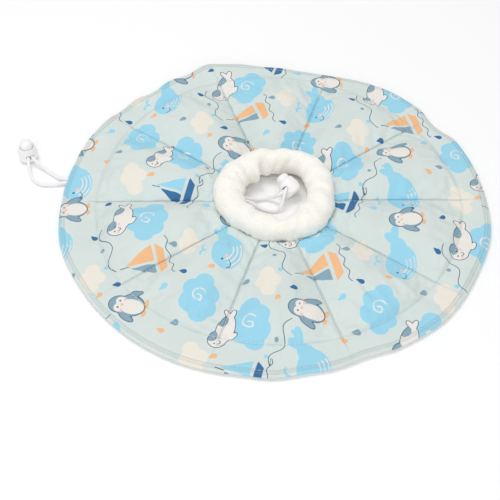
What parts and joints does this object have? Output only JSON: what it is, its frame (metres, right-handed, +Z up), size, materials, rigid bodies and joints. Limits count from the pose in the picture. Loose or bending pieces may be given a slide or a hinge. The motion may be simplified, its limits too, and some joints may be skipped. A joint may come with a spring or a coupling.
{
  "type": "elizabethan collar",
  "caption": "Soft padded round pet recovery collar lying flat, with quilted wedge pads, a drawcord rim, a plump fleece neck cuff and push-button cord locks.",
  "frame": {"origin": "middle of the collar's outline (without the free cords and their locks), at the height of the table that it rests on", "axes": "+Z up through the neck hole, square to the disc; -X towards the rim cord's exit; -Y towards the viewer of the picture"},
  "size_m": [0.3765, 0.3356, 0.0285],
  "materials": {
    "printed_cloth": "smooth woven polyester, printed, quilted",
    "fleece": "short soft pile",
    "cord": "braided elastic",
    "lock_plastic": "moulded, satin",
    "lock_button": "moulded, satin"
  },
  "bodies": {
    "collar": {"padded_disc": "printed_cloth", "rim_casing": "printed_cloth", "neck_cuff": "fleece", "rim_cord_inner": "cord", "neck_cord_inner": "cord", "rim_cord_a": "cord", "rim_cord_b": "cord", "rim_cord_knot": "cord", "rim_lock_body": "lock_plastic", "neck_cord_a": "cord", "neck_cord_b": "cord", "neck_cord_knot": "cord", "neck_lock_body": "lock_plastic"},
    "rim_button": {"rim_lock_button": "lock_button"},
    "neck_button": {"neck_lock_button": "lock_button"}
  },
  "joints": [
    {"name": "rim_lock_press", "type": "slide", "parent": "collar", "child": "rim_button", "axis": [0, 0, -1], "range_m": [0, 0.0025], "stiffness_N_per_m": 150, "springref_m": -0.004},
    {"name": "neck_lock_press", "type": "slide", "parent": "collar", "child": "neck_button", "axis": [0.6202, -0.6202, -0.4802], "range_m": [0, 0.0025], "stiffness_N_per_m": 150, "springref_m": -0.004}
  ]
}
